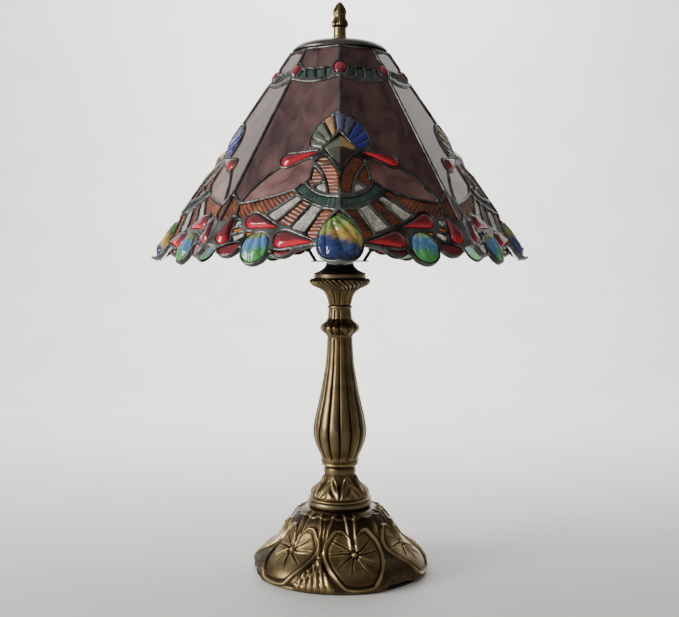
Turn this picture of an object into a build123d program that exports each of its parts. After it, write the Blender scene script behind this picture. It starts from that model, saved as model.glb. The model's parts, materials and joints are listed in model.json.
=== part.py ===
from build123d import *
import os
from math import atan2, cos, degrees, radians, sin, tan

# A leaded-glass table lamp on a cast base. Millimetres, +Z up, origin on the
# table under the middle of the base. The sharp ridges of the shade point along
# -Y, +X, +Y and -X; the front of the lamp faces -Y.

os.makedirs("parts", exist_ok=True)

# ------------------------------------------------------------------ driving dimensions
SHADE_WIDTH = 406.0          # across opposite sharp ridges, at the lower tips
SHADE_APEX = 630.5           # height where the shade's planes would meet
SHADE_TIP_HEIGHT = 334.0     # height of the lower tips
SHADE_TOP = 555.5            # height of the cut top edge, where the cap sits
SOFT_RIDGE_RATIO = 0.93      # radius of the soft ridges over that of the sharp ones
GLASS = 3.0                  # thickness of the flat glass
LEAD = 3.0                   # width of the lead lines between pieces of glass
LEAD_PROUD = 1.2             # height of the lead over the outer face of the glass
JEWEL_RIM = 2.4              # lead around the jewels that stand out of the border
FOOT_RADIUS = 93.0
FOOT_TOP = 68.0
FELT = 1.5
ROD_RADIUS = 4.8             # 1/8 IP lamp pipe
PIPE_BORE = 3.2
STACK_BORE = 5.2             # hole of every piece that is stacked on the rod
HOLLOW = 9.5                 # bore of the hollow castings
BELL_BASE, COLUMN_BASE, KNOP_BASE = 76.0, 117.3, 250.0
NECK_BASE, CROWN_BASE, BAND_BASE = 281.0, 284.0, 313.0
CONE_BASE, SADDLE_BASE = 319.0, 331.0
SADDLE_THICK = 1.2
SOCKET_BASE = SADDLE_BASE + SADDLE_THICK
LEDGE = SOCKET_BASE + 13.8   # ledge in the socket cap that carries the shell
SOCKET_TOP = 396.0
SWITCH_HEIGHT = 353.8
SCREW_RADIUS = 12.9          # E26 lamp cap
HARP_WIRE = 3.6
HARP_HALF_WIDTH = 57.0
HARP_TOP = 555.0
SEAT_TOP = 566.8
CAP_TOP = 569.5
STUD_RADIUS = 3.175          # 1/4-27 harp stud
FINIAL_GAP = 0.2
FINIAL_TIP = 610.0
QUARTER = 90.0


# ------------------------------------------------------------------ shared outlines
def half_section(curve, *corners):
    """Half section to revolve: a smooth curve through (radius, height) points, then corners."""
    with BuildSketch(Plane.XZ) as section:
        with BuildLine():
            Spline(*curve)
            Polyline(curve[-1], *corners, curve[0])
        make_face()
    return section.sketch


def square_section(*corners):
    """Half section to revolve, with straight sides only."""
    with BuildSketch(Plane.XZ) as section:
        with BuildLine():
            Polyline(*corners, close=True)
        make_face()
    return section.sketch


def tube_section(inner, outer, low, high):
    return square_section((inner, low), (outer, low), (outer, high), (inner, high))


def finish(builder, label):
    """Label a finished piece and write it."""
    builder.part.label = label
    export_step(builder.part, f"parts/{label}.step")


# ================================================================== base and post
# Hollow cast foot: a low lobed dome, open below, with a flat top that the rod clamps.
FOOT_WALL = 3.4
INLET_HEIGHT = 15.0
INLET_RADIUS = 6.4
LOBES = 6
FIRST_LOBE = -47.0           # azimuth of one lily pad, from the front toward +X

with BuildPart() as base_foot:
    revolve(
        half_section(
            [
                (FOOT_RADIUS, 7.5), (86.5, 19), (76.5, 26.6), (66.5, 34.6), (59.5, 44.2), (54, 54),
                (48, 62.6), (41.5, 66.8), (36, FOOT_TOP),
            ],
            (STACK_BORE, FOOT_TOP),
            (STACK_BORE, FOOT_TOP - 5),
            (36, FOOT_TOP - 5),
            (44.6, 59.6),
            (50.4, 51.8),
            (56.2, 41.6),
            (63.8, 31.2),
            (74, 23.2),
            (83.2, 16.2),
            (FOOT_RADIUS - FOOT_WALL, 7),
            (FOOT_RADIUS - FOOT_WALL, FELT),
            (FOOT_RADIUS, FELT),
        ),
        axis=Axis.Z,
    )
    # shallow scallops in the rim, between the six lily pads
    with BuildSketch(Plane.XY):
        with PolarLocations(FOOT_RADIUS + 27, LOBES, start_angle=FIRST_LOBE - QUARTER + 30):
            Circle(30)
    extrude(amount=24, mode=Mode.SUBTRACT)
    # cord inlet through the back wall
    with BuildSketch(Plane.XZ.offset(-FOOT_RADIUS - 4)):
        with Locations((0, INLET_HEIGHT)):
            Circle(INLET_RADIUS)
    extrude(amount=24, mode=Mode.SUBTRACT)
finish(base_foot, "base_foot")

with BuildPart() as foot_felt:
    revolve(tube_section(FOOT_RADIUS - 8, FOOT_RADIUS - 3.4, 0, FELT), axis=Axis.Z)
finish(foot_felt, "foot_felt")

# Bushing in the inlet: a flange outside the wall, and a plain bore for the cord.
BUSHING_BORE = 4.0
BUSHING_FACE = FOOT_RADIUS + 0.8
BUSHING_LENGTH = 13.0
with BuildPart() as cord_bushing:
    with BuildSketch(Plane.XZ.offset(-BUSHING_FACE)):
        with Locations((0, INLET_HEIGHT)):
            Circle(INLET_RADIUS)
            Circle(BUSHING_BORE, mode=Mode.SUBTRACT)
    extrude(amount=BUSHING_LENGTH)
    with BuildSketch(Plane.XZ.offset(-BUSHING_FACE - 2)):
        with Locations((0, INLET_HEIGHT)):
            Circle(INLET_RADIUS + 2)
            Circle(BUSHING_BORE, mode=Mode.SUBTRACT)
    extrude(amount=2)
finish(cord_bushing, "cord_bushing")

# Rod and the hardware that clamps the stack from below.
CLAMP_FACE = FOOT_TOP - 5
with BuildPart() as centre_rod:
    revolve(tube_section(PIPE_BORE, ROD_RADIUS, CLAMP_FACE - 14, LEDGE - 1.5), axis=Axis.Z)
finish(centre_rod, "centre_rod")

with BuildPart() as rod_washer:
    revolve(tube_section(ROD_RADIUS, 19, CLAMP_FACE - 2, CLAMP_FACE), axis=Axis.Z)
finish(rod_washer, "rod_washer")

with BuildPart() as lock_washer:
    revolve(tube_section(ROD_RADIUS, 8.5, CLAMP_FACE - 3.2, CLAMP_FACE - 2), axis=Axis.Z)
finish(lock_washer, "lock_washer")

with BuildPart() as rod_nut:
    with BuildSketch(Plane.XY.offset(CLAMP_FACE - 8.2)):
        RegularPolygon(radius=8.2, side_count=6)
        Circle(ROD_RADIUS, mode=Mode.SUBTRACT)
    extrude(amount=5)
finish(rod_nut, "rod_nut")

with BuildPart() as collar_ring:
    revolve(
        half_section(
            [(31.5, FOOT_TOP), (34.2, FOOT_TOP + 3.5), (33.6, BELL_BASE - 1), (32, BELL_BASE)],
            (HOLLOW, BELL_BASE),
            (HOLLOW, FOOT_TOP),
        ),
        axis=Axis.Z,
    )
finish(collar_ring, "collar_ring")

with BuildPart() as stem_bell:
    revolve(
        half_section(
            [
                (33.2, BELL_BASE), (29.2, 84.4), (23.2, 91), (18.3, 97), (17.2, 103), (17.6, 111),
                (20.4, COLUMN_BASE),
            ],
            (HOLLOW, COLUMN_BASE),
            (HOLLOW, 92),
            (22, BELL_BASE),
        ),
        axis=Axis.Z,
    )
finish(stem_bell, "stem_bell")


def fluted(builder_label, stations, sides, bore):
    """A faceted casting lofted through (height, radius) stations, with a straight bore."""
    with BuildPart() as casting:
        for height, radius in stations:
            with BuildSketch(Plane.XY.offset(height)):
                RegularPolygon(radius=radius, side_count=sides)
        loft(ruled=True)
        low, high = stations[0][0], stations[-1][0]
        with BuildSketch(Plane.XY.offset(low)):
            Circle(bore)
        extrude(amount=high - low, mode=Mode.SUBTRACT)
    finish(casting, builder_label)


FLUTES = 12
fluted(
    "column_vase",
    [
        (COLUMN_BASE, 19.4), (122, 19.9), (129, 23.6), (137, 26.6), (145, 28.5), (153, 28.4), (166.5, 26),
        (179, 22.9), (192, 20.2), (206, 17.6), (220, 15.2), (235, 14), (KNOP_BASE, 13.2),
    ],
    FLUTES,
    HOLLOW,
)
fluted(
    "column_knop",
    [
        (KNOP_BASE, 13.4), (253, 14.6), (255.5, 18.2), (258, 20.6), (261, 20.9), (263.5, 19.4), (266.5, 15.4),
        (270, 12.8), (NECK_BASE, 11.8),
    ],
    FLUTES,
    HOLLOW,
)

with BuildPart() as neck_ring:
    revolve(tube_section(STACK_BORE, 13.6, NECK_BASE, CROWN_BASE), axis=Axis.Z)
    fillet(neck_ring.edges().filter_by(GeomType.CIRCLE).group_by(SortBy.RADIUS)[-1], radius=1.2)
finish(neck_ring, "neck_ring")

with BuildPart() as crown_cup:
    revolve(
        half_section(
            [(11.8, CROWN_BASE), (13.4, 292.3), (17, 299), (23, 303), (30.6, 307), (32.6, 310.5)],
            (31.4, BAND_BASE),
            (STACK_BORE, BAND_BASE),
            (STACK_BORE, CROWN_BASE),
        ),
        axis=Axis.Z,
    )
finish(crown_cup, "crown_cup")

with BuildPart() as crown_band:
    revolve(tube_section(HOLLOW, 28, BAND_BASE, CONE_BASE), axis=Axis.Z)
    fillet(crown_band.edges().filter_by(GeomType.CIRCLE).group_by(SortBy.RADIUS)[-1], radius=1.5)
finish(crown_band, "crown_band")

with BuildPart() as cone_cover:
    revolve(
        half_section(
            [(27.6, CONE_BASE), (20.6, 321.8), (16, 326), (14.4, SADDLE_BASE)],
            (STACK_BORE, SADDLE_BASE),
            (STACK_BORE, SADDLE_BASE - 2),
            (12.5, SADDLE_BASE - 2),
            (14, 325),
            (19, 320.4),
            (24, CONE_BASE),
        ),
        axis=Axis.Z,
    )
finish(cone_cover, "cone_cover")

# ================================================================== saddle, harp and ferrules
SADDLE_HALF = 26.0           # half length of the flat strip
SADDLE_STRIP = 14.0
SLANT = 58.0                 # the legs leave the saddle at this angle
PIN = 20.0                   # length of the saddle's upturned pins
FERRULE = 14.0
FERRULE_TRAVEL = 12.0
STRAIGHT_LEG = 42.0          # straight run from the strip's end, pin included


def along_leg(distance, side=1):
    """Point on a leg's centre line, measured up the slant from the strip's end."""
    return Vector(
        side * (SADDLE_HALF + distance * cos(radians(SLANT))),
        0,
        SADDLE_BASE + SADDLE_THICK / 2 + distance * sin(radians(SLANT)),
    )


def leg_plane(distance, side=1):
    """Plane across a leg, facing up the slant."""
    direction = Vector(side * cos(radians(SLANT)), 0, sin(radians(SLANT)))
    return Plane(origin=along_leg(distance, side), x_dir=(0, 1, 0), z_dir=direction)


with BuildPart() as harp_saddle:
    with BuildSketch(Plane.XY.offset(SADDLE_BASE)):
        SlotCenterToCenter(2 * SADDLE_HALF - 4, SADDLE_STRIP)
        Circle(STACK_BORE, mode=Mode.SUBTRACT)
    extrude(amount=SADDLE_THICK)
    for side in (1, -1):
        with BuildSketch(leg_plane(0, side)):
            Circle(HARP_WIRE / 2)
        extrude(amount=PIN)
finish(harp_saddle, "harp_saddle")

with BuildPart() as harp_loop:
    foot_point = along_leg(PIN)
    bend_point = along_leg(STRAIGHT_LEG)
    with BuildLine(Plane.XZ) as harp_line:
        leg = Line((foot_point.X, foot_point.Z), (bend_point.X, bend_point.Z))
        bend = TangentArc(leg @ 1, (HARP_HALF_WIDTH, 397), tangent=leg % 1)
        upright = Line(bend @ 1, (HARP_HALF_WIDTH, 505))
        shoulder = ThreePointArc(upright @ 1, (42.4, 540.4), (7, HARP_TOP))
        Line(shoulder @ 1, (0, HARP_TOP))
        mirror(about=Plane.YZ)
    with BuildSketch(leg_plane(PIN)):
        Circle(HARP_WIRE / 2)
    sweep(path=harp_line.wires()[0])
finish(harp_loop, "harp_loop")

for side, label in ((-1, "harp_ferrule_left"), (1, "harp_ferrule_right")):
    with BuildPart() as ferrule:
        with BuildSketch(leg_plane(PIN - FERRULE / 2, side)):
            Circle(3.5)
            Circle(HARP_WIRE / 2 + 0.15, mode=Mode.SUBTRACT)
        extrude(amount=FERRULE)
    finish(ferrule, label)

with BuildPart() as harp_seat:
    wire_top = HARP_TOP + HARP_WIRE / 2
    revolve(
        square_section(
            (0, wire_top), (5, wire_top), (6, wire_top + 4), (9, SEAT_TOP - 2.5), (9, SEAT_TOP),
            (STUD_RADIUS, SEAT_TOP), (STUD_RADIUS, 582), (0, 582),
        ),
        axis=Axis.Z,
    )
finish(harp_seat, "harp_seat")

# ================================================================== socket, switch and bulb
BODY_TOP = 358.0
with BuildPart() as socket_cap:
    revolve(
        square_section(
            (STACK_BORE, SOCKET_BASE), (8, SOCKET_BASE), (13, SOCKET_BASE + 2), (17.2, SOCKET_BASE + 10),
            (17.6, LEDGE + 4), (16.7, LEDGE + 4), (16.7, LEDGE), (14, LEDGE), (14, LEDGE - 2),
            (11.8, SOCKET_BASE + 3.4), (7.6, SOCKET_BASE + 3.4), (7.6, LEDGE - 3), (STACK_BORE, LEDGE - 3),
        ),
        axis=Axis.Z,
    )
finish(socket_cap, "socket_cap")

with BuildPart() as socket_body:
    revolve(tube_section(3, 15.6, LEDGE, BODY_TOP), axis=Axis.Z)
    with BuildSketch(Plane.XZ):
        with Locations((0, SWITCH_HEIGHT)):
            Circle(1.8)
    extrude(amount=-17, mode=Mode.SUBTRACT)
finish(socket_body, "socket_body")

with BuildPart() as socket_shell:
    revolve(tube_section(16, 16.6, LEDGE, SOCKET_TOP), axis=Axis.Z)
    with BuildSketch(Plane.XZ):
        with Locations((0, SWITCH_HEIGHT)):
            Circle(2.4)
    extrude(amount=-20, mode=Mode.SUBTRACT)
finish(socket_shell, "socket_shell")

with BuildPart() as socket_sleeve:
    revolve(tube_section(14.9, 15.6, BODY_TOP, SOCKET_TOP - 3), axis=Axis.Z)
finish(socket_sleeve, "socket_sleeve")

with BuildPart() as socket_screw_shell:
    revolve(tube_section(SCREW_RADIUS + 0.5, SCREW_RADIUS + 1, BODY_TOP, 388), axis=Axis.Z)
finish(socket_screw_shell, "socket_screw_shell")

with BuildPart() as socket_contact:
    revolve(square_section((0, BODY_TOP), (4.5, BODY_TOP), (3.5, 360.4), (0, 360.4)), axis=Axis.Z)
finish(socket_contact, "socket_contact")

# Turn knob at the back: a thin shaft, and a flat oval key.
KNOB_START, KNOB_LENGTH = 20.5, 15.0
with BuildPart() as switch_knob:
    with BuildSketch(Plane.XZ.offset(-6)):
        with Locations((0, SWITCH_HEIGHT)):
            Circle(1.5)
    extrude(amount=-(KNOB_START - 6))
    with BuildSketch(Plane.XZ.offset(-KNOB_START)):
        with Locations((0, SWITCH_HEIGHT)):
            Circle(4.2)
    extrude(amount=-4)
    with BuildSketch(Plane.XZ.offset(-KNOB_START - 4)):
        with Locations((0, SWITCH_HEIGHT)):
            Ellipse(7, 2.4)
    extrude(amount=4 - KNOB_LENGTH)
finish(switch_knob, "switch_knob")

CAP_LOW, CAP_HIGH = 362.6, 388.0
BULB_TOP = 471.0
with BuildPart() as bulb_contact:
    revolve(tube_section(0, 4.6, 360.6, CAP_LOW), axis=Axis.Z)
finish(bulb_contact, "bulb_contact")

with BuildPart() as bulb_screw_cap:
    revolve(
        square_section(
            (0, CAP_LOW), (6, CAP_LOW), (12, 366.5), (SCREW_RADIUS, 367.5), (SCREW_RADIUS, CAP_HIGH),
            (SCREW_RADIUS - 0.5, CAP_HIGH), (SCREW_RADIUS - 0.5, 368), (5, CAP_LOW + 2), (0, CAP_LOW + 2),
        ),
        axis=Axis.Z,
    )
finish(bulb_screw_cap, "bulb_screw_cap")

with BuildPart() as bulb_glass:
    with BuildSketch(Plane.XZ):
        with BuildLine():
            outer = Spline(
                (12.6, CAP_HIGH), (17, 402), (30, 440), (21.2, 462.2), (0, BULB_TOP),
                tangents=((0, 1), (-1, 0)),
            )
            inner = Spline(
                (11.6, CAP_HIGH), (16, 402.2), (29, 440), (20.4, 461.3), (0, BULB_TOP - 1),
                tangents=((0, 1), (-1, 0)),
            )
            Line(outer @ 0, inner @ 0)
            Line(outer @ 1, inner @ 1)
        make_face()
    revolve(axis=Axis.Z)
finish(bulb_glass, "bulb_glass")

with BuildPart() as bulb_stem:
    revolve(
        square_section((0, CAP_LOW + 2), (4.6, CAP_LOW + 2), (4.6, 392), (2.6, 400), (1.6, 432), (0, 432)),
        axis=Axis.Z,
    )
finish(bulb_stem, "bulb_stem")

# ================================================================== shade: planes and outlines
# The shade is eight flat panels between four sharp and four soft ridges. A panel is
# drawn in its own plane, from the apex: across from the sharp ridge, and down along it.
# One half corner is drawn, then mirrored and turned to the other seven panels.
SLOPE = SHADE_WIDTH / 2 / (SHADE_APEX - SHADE_TIP_HEIGHT)
APEX = (0, 0, SHADE_APEX)
sharp_ridge = Vector(0, -SLOPE, -1)
soft_ridge = Vector(0, -SLOPE * SOFT_RIDGE_RATIO, -1).rotate(Axis.Z, 45)
panel_normal = sharp_ridge.cross(soft_ridge).normalized()
PANEL = Plane(origin=APEX, x_dir=panel_normal.cross(sharp_ridge), z_dir=panel_normal)
SHARP = Plane(origin=APEX, x_dir=(1, 0, 0), z_dir=(0, -1, SLOPE))
soft_outward = Vector(0, -1, SLOPE * SOFT_RIDGE_RATIO).rotate(Axis.Z, 45)
SOFT = Plane(origin=APEX, x_dir=(1, 1, 0), z_dir=soft_outward)
RIDGE_SPREAD = tan(radians(sharp_ridge.get_angle(soft_ridge)))
FOLD = PANEL.x_dir.X         # widths on the sharp ridge's plane over those on the panel


def on_soft(down):
    """Point of the soft ridge, at this distance down the panel."""
    return (RIDGE_SPREAD * down, down)


def place(point):
    return (point[0], -point[1])


def outline(*stops):
    """Closed face. A stop is a corner, or a (through, corner) pair that an arc reaches."""
    with BuildSketch() as face:
        with BuildLine():
            here = place(stops[0])
            for stop in stops[1:] + stops[:1]:
                if isinstance(stop[0], tuple):
                    ThreePointArc(here, place(stop[0]), place(stop[1]))
                    here = place(stop[1])
                elif (Vector(*place(stop)) - Vector(*here)).length > 0.01:
                    Line(here, place(stop))
                    here = place(stop)
        make_face()
    return face.sketch


def drop(tip, heel, width):
    """Teardrop: a round heel that tapers to a small round tip."""
    tip, heel = Vector(*place(tip)), Vector(*place(heel))
    middle = heel + (tip - heel).normalized() * width / 2
    with BuildSketch() as face:
        with Locations(middle):
            Circle(width / 2)
        with Locations(tip):
            Circle(0.9)
        make_hull()
    return face.sketch


def oval(centre, half_width, half_length):
    with BuildSketch() as face:
        with Locations(place(centre)):
            Ellipse(half_width, half_length)
    return face.sketch


def grown(face, amount):
    return offset(face, amount=amount, kind=Kind.ARC, mode=Mode.PRIVATE)


# Jewels on the ridges, drawn on the ridge's plane.
pyramid_outline = outline((0, 208.5), (14.8, 225), (0, 251.5), (-14.8, 225))
SHIELD_TOP, SHIELD_WIDE, SHIELD_LOW = 301, 333.5, 356
shield_outline = outline(
    (0, SHIELD_TOP), ((13.4, 315), (20, SHIELD_WIDE)), ((14.4, 350), (0, SHIELD_LOW)),
    ((-14.4, 350), (-20, SHIELD_WIDE)), ((-13.4, 315), (0, SHIELD_TOP)),
)
sharp_cabochon = oval((0, 123), 6, 8)
soft_cabochon = oval((0, 121), 5.6, 8.4)

# The same jewels as the panel sees them, to keep the flat glass clear of them.
pyramid_on_panel = outline((0, 208.5), (14.8 / FOLD, 225), (0, 251.5), (-14.8 / FOLD, 225))
shield_on_panel = outline(
    (0, SHIELD_TOP), ((13.4 / FOLD, 315), (20 / FOLD, SHIELD_WIDE)), ((14.4 / FOLD, 350), (0, SHIELD_LOW)),
    ((-14.4 / FOLD, 350), (-20 / FOLD, SHIELD_WIDE)), ((-13.4 / FOLD, 315), (0, SHIELD_TOP)),
)
with BuildSketch() as cabochons_clear:
    with Locations(place((0, 123))):
        Ellipse(6 / FOLD + LEAD, 8 + LEAD)
    with Locations(Location((*place(on_soft(110)), 0), degrees(atan2(RIDGE_SPREAD, 1)))):
        Ellipse(5.8 + LEAD, 8.4 + LEAD)

# Jewels and drops that lie on one panel.
eye_drop = drop((24, 226.5), (62, 227), 14)
upper_drop = drop((65, 303), (96, 285), 17)
lower_drop = drop((28, 330), (66, 316), 18.5)
side_drop = drop((110.5, 279), (125, 306), 14.5)
leaf = outline(
    (80, 306), ((93, 308.5), (99.5, 319)), ((98, 331), (88.5, 337)), ((77, 333), (72.5, 322)),
    ((74, 311), (80, 306)),
)
red_sliver = outline((46, 332), ((57.5, 336.6), (69.5, 327.5)), ((59.5, 331.8), (46, 332)))
red_petal = outline((103, 311), ((114.5, 320.5), (127, 311)), ((115.5, 309.6), (103, 311)))

WING_TIP = (106, 264)
FAN_CENTRE, FAN_RADIUS = (0, 215), 31.5


def disc(centre, radius):
    with BuildSketch() as face:
        with Locations(place(centre)):
            Circle(radius)
    return face.sketch


fan_disc = disc(FAN_CENTRE, FAN_RADIUS)
fan_glass_disc = disc(FAN_CENTRE, FAN_RADIUS - LEAD / 2)

with BuildSketch() as keep_clear:
    add(cabochons_clear)
    for jewel in (
        pyramid_on_panel, shield_on_panel, eye_drop, upper_drop, lower_drop, side_drop,
        leaf, red_sliver, red_petal,
    ):
        add(grown(jewel, LEAD - 0.4))


def pane(face, clear_of=()):
    """Flat glass: its outline shrunk by half a lead line, and kept clear of the jewels."""
    with BuildSketch() as shrunk:
        add(face)
        for other in clear_of:
            add(other, mode=Mode.SUBTRACT)
        offset(amount=-LEAD / 2, mode=Mode.REPLACE)
        add(keep_clear.sketch, mode=Mode.SUBTRACT)
    return shrunk.sketch.faces().sort_by(SortBy.AREA)[-1]


top_pane = pane(outline((0, 93), (36, 83.6), on_soft(84), on_soft(104), ((25, 116.5), (0, 118))))

# Garland of beads below the top panes, hung from the sharp ridge's cabochon to the soft one's.
BEADS, BEAD_PITCH, GARLAND_START, GARLAND_SAG = 4, 10.6, 6.5, 5
GARLAND_TOP, GARLAND_LOW = 117, 132


def garland(across, start):
    """Point on a garland line that leaves the sharp ridge this far down."""
    return (across, start - 0.27 * across + GARLAND_SAG * (1 - ((across - 26) / 26) ** 2))


band_beads = []
for bead in range(BEADS):
    left = GARLAND_START + bead * BEAD_PITCH
    right = left + BEAD_PITCH
    band_beads.append(pane(outline(
        garland(left, GARLAND_TOP), garland(right, GARLAND_TOP),
        garland(right, GARLAND_LOW), garland(left, GARLAND_LOW),
    )))
main_pane = pane(
    outline(
        (0, 133), (0, 190), (30, 226), (60, 231), ((85, 245), WING_TIP), on_soft(248),
        on_soft(119), ((27, 132.5), (0, 133)),
    ),
    clear_of=[fan_disc],
)
wing_pane = pane(outline((27, 231), (60, 231), ((85, 245), WING_TIP), ((76, 266), (47, 264.5)), (31, 257)))
beak_pane = pane(outline((14.5, 231), ((6.5, 244), (0, 262)), (0, 283.5), (12.5, 281), ((17, 257), (28, 236))))
beak_side_pane = pane(
    outline((27.5, 238), (31, 257), (36.5, 258.5), (29, 268), (15.6, 263), (18, 254))
)
crescent_pane = pane(
    outline((36.5, 257.5), (47, 264.5), ((29.5, 284), (0, 301.5)), (0, 286), ((25, 274), (36.5, 257.5)))
)
clear_chip = pane(outline((15.6, 263), (29, 268), (13, 281.5), (12.6, 272)))
amber_rays = [
    pane(outline((2, 301), (17.5, 294.5), (35, 319), (27, 333), (14, 322))),
    pane(outline((28, 286), (36.8, 278), (66, 297.5), (52, 308.5))),
    pane(outline((47, 264.5), ((76, 266), WING_TIP), (108, 277), (103, 284), (77, 286), (43.8, 271))),
]
clear_rays = [
    pane(outline((17.5, 294.5), (28, 286), (52, 308.5), (35, 319))),
    pane(outline((36.8, 278), (43.8, 271), (77, 286), (66, 297.5))),
]
kite_pane = pane(outline(on_soft(248), WING_TIP, (108.6, 277), on_soft(283)))
clear_strips = [
    pane(outline((101.5, 283), (109, 283), (111.5, 291.5), (101, 291.5))),
    pane(outline((99.5, 298), (114, 299), (110, 309.5), (97, 305.5))),
]
amber_strips = [
    pane(outline((101, 291.5), (111.5, 291.5), (114, 299), (99.5, 298))),
    pane(outline((99.5, 298), (97, 305.5), (103, 310.5), (92, 306.5), (86, 301.5))),
]

# Fan: five ribs on each side of a middle rib that bends over the sharp ridge.
FAN_HUB = (0, 233)
RIB_ANGLE = 14.2
FAN_RIBS = 5


def fan_rib(step):
    """Rib of the fan, this many steps away from the ridge; the middle rib is step 0."""
    low, high = radians((step - 0.5) * RIB_ANGLE), radians((step + 0.5) * RIB_ANGLE)
    reach = 70
    with BuildSketch() as rib:
        add(outline(
            FAN_HUB,
            (FAN_HUB[0] + reach * sin(low), FAN_HUB[1] - reach * cos(low)),
            (FAN_HUB[0] + reach * sin(high), FAN_HUB[1] - reach * cos(high)),
        ))
        offset(amount=-0.7, mode=Mode.REPLACE)
        add(fan_glass_disc, mode=Mode.INTERSECT)
        add(keep_clear.sketch, mode=Mode.SUBTRACT)
    return rib.sketch.faces().sort_by(SortBy.AREA)[-1]


fan_faces = [fan_rib(step) for step in range(FAN_RIBS + 1)]

# ================================================================== shade: solids
MIDDLE_CUT = Plane.YZ
SOFT_CUT = Plane(origin=(0, 0, 0), x_dir=(0, 0, 1), z_dir=(-1, -1, 0))
TOP_CUT = Plane.XY.offset(SHADE_TOP)


def trim_to_panel():
    """Cut the current part at the two ridges' mitre planes, and level at the top edge."""
    split(bisect_by=MIDDLE_CUT, keep=Keep.TOP)
    split(bisect_by=SOFT_CUT, keep=Keep.TOP)
    split(bisect_by=TOP_CUT, keep=Keep.BOTTOM)


def domed(plane, face, low, shoulder, top, shrink):
    """Jewel: straight sides from low to shoulder, then drawn in toward a flatter top."""
    middle = face.faces()[0].center()
    with BuildPart() as jewel:
        with BuildSketch(plane.offset(low)):
            add(face)
        extrude(amount=shoulder - low)
        with BuildSketch(plane.offset(shoulder)):
            add(face)
        with BuildSketch(plane.offset(top)):
            with Locations(middle * (1 - shrink)):
                add(scale(face, by=shrink, mode=Mode.PRIVATE))
        loft()
    return jewel.part


def flat_glass(faces):
    """Panes of one half corner."""
    with BuildPart() as panes:
        for face in faces:
            with BuildSketch(PANEL):
                add(face)
            extrude(amount=-GLASS)
        trim_to_panel()
    return panes.part


def all_round(label, half, mirrored=True):
    """Node with the copies of a half corner: its mirror image, and the four turns."""
    with BuildPart() as node:
        add(half)
        if mirrored:
            mirror(about=Plane.YZ)
        corner = node.part
        for turn in range(1, 4):
            add(corner.rotate(Axis.Z, turn * QUARTER))
    finish(node, label)


for label, faces in {
    "top_glass": [top_pane],
    "band_beads": band_beads,
    "main_glass": [main_pane],
    "wing_glass": [wing_pane],
    "beak_glass": [beak_pane, beak_side_pane],
    "crescent_glass": [crescent_pane],
    "amber_ray_glass": amber_rays,
    "clear_glass": clear_rays + clear_strips + [clear_chip],
    "kite_glass": [kite_pane],
    "amber_strip_glass": amber_strips,
    "red_border_glass": [red_sliver, red_petal],
}.items():
    all_round(label, flat_glass(faces))

JEWEL_BACK, JEWEL_SHOULDER, JEWEL_TOP = -GLASS, 1.4, 4.4
for label, faces in {
    "eye_drops": [eye_drop],
    "border_drops": [upper_drop, lower_drop, side_drop],
    "leaf_jewels": [leaf],
}.items():
    with BuildPart() as half_jewels:
        for face in faces:
            add(domed(PANEL, face, JEWEL_BACK, JEWEL_SHOULDER, JEWEL_TOP, 0.55))
    all_round(label, half_jewels.part)

all_round("pyramid_jewels", domed(SHARP, pyramid_outline, -8.5, -3.5, 2.0, 0.12), mirrored=False)
all_round("shield_jewels", domed(SHARP, shield_outline, -10.5, -4.5, -0.6, 0.7), mirrored=False)
with BuildPart() as corner_cabochons:
    add(domed(SHARP, sharp_cabochon, -5.5, 0, 2.5, 0.5))
    add(domed(SOFT, soft_cabochon, -5, 0, 2.5, 0.5))
all_round("ridge_cabochons", corner_cabochons.part, mirrored=False)

# The fan runs from olive glass on the left of each sharp ridge to blue on the right.
right_ribs = [flat_glass([face]) for face in fan_faces]
left_ribs = [mirror(rib, about=Plane.YZ) for rib in right_ribs]
for label, ribs in {
    "fan_ribs_olive": left_ribs[2:],
    "fan_rib_amber": left_ribs[1:2],
    "fan_ribs_smoke": [left_ribs[0], right_ribs[0], right_ribs[1]],
    "fan_ribs_blue": right_ribs[2:],
}.items():
    with BuildPart() as corner_ribs:
        for rib in ribs:
            add(rib)
    all_round(label, corner_ribs.part, mirrored=False)

# Lead network of one panel: its outline and the rims of the border jewels, less the glass.
border = outline(
    (-8, 80), (48, 66), on_soft(150), (146, 300), (133, 307), (124, 313), (104, 314), (84, 318),
    (71, 328), (44, 333), (24, 334), (-8, 330),
)
panel_holes = [
    top_pane, *band_beads, main_pane, wing_pane, beak_pane, beak_side_pane, crescent_pane, clear_chip,
    *amber_rays, *clear_rays, kite_pane, *clear_strips, *amber_strips, *fan_faces,
    eye_drop, upper_drop, lower_drop, side_drop, leaf, red_sliver, red_petal,
]
with BuildPart() as came_half:
    with BuildSketch(PANEL.offset(LEAD_PROUD)):
        add(border)
        for jewel in (shield_on_panel, lower_drop, upper_drop, side_drop, leaf, red_sliver, red_petal):
            add(grown(jewel, JEWEL_RIM))
        for hole in panel_holes:
            add(hole, mode=Mode.SUBTRACT)
    extrude(amount=-(GLASS + 2 * LEAD_PROUD))
    trim_to_panel()
    for plane, face in (
        (SHARP, pyramid_outline), (SHARP, shield_outline), (SHARP, sharp_cabochon), (SOFT, soft_cabochon)
    ):
        with BuildSketch(plane.offset(-20)):
            add(face)
        extrude(amount=40, mode=Mode.SUBTRACT)

# The two panels of a corner meet on the ridge as separate solids, which one fused part can't say.
mirrored_half = mirror(came_half.part, about=Plane.YZ)
for corner in range(4):
    halves = [half.rotate(Axis.Z, corner * QUARTER) for half in (came_half.part, mirrored_half)]
    came_corner = Compound(children=[solid for half in halves for solid in half.solids()])
    came_corner.label = f"came_corner_{corner + 1}"
    export_step(came_corner, f"parts/{came_corner.label}.step")

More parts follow.
